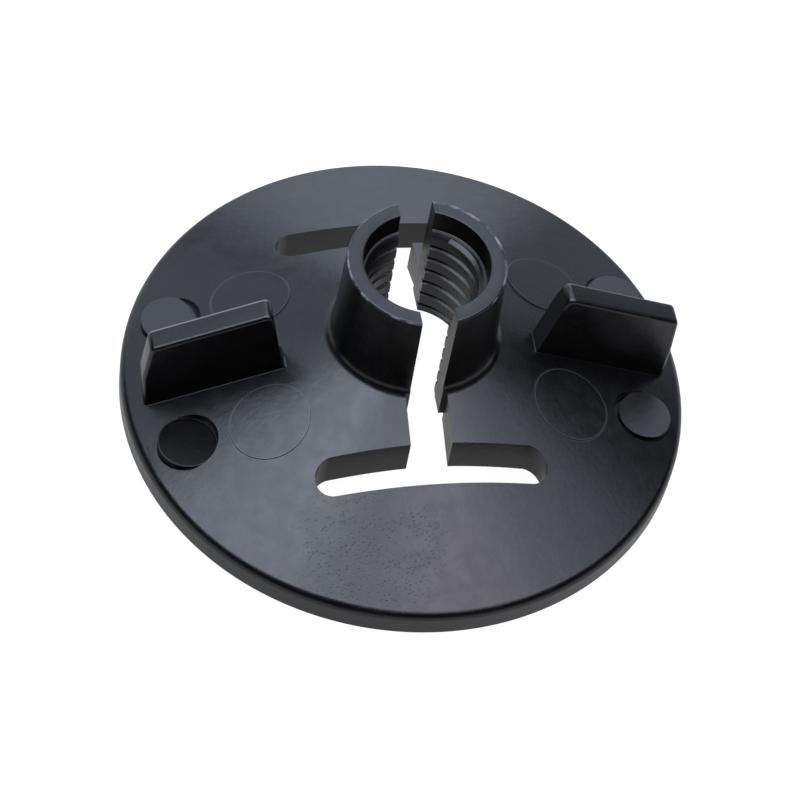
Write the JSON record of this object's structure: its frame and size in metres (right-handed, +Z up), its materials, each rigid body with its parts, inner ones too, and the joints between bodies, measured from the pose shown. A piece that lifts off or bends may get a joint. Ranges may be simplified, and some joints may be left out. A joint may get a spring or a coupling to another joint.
{
  "type": "split quick-fit plastic nut",
  "caption": "Moulded plastic nut: a conical disc with a split threaded hub that clips onto a bolt, and thumb wings to turn it by hand.",
  "frame": {"origin": "centre of the flat ring that the nut rests on, on the thread's axis", "axes": "+Z up the thread's axis towards the open end of the hub, X through the two wings, Y along the split"},
  "size_m": [0.04, 0.04, 0.0149],
  "materials": {
    "black_plastic": "injection-moulded black nylon, satin, with fine pitting on the disc"
  },
  "bodies": {
    "root": {"quick_nut": "black_plastic"}
  },
  "joints": []
}
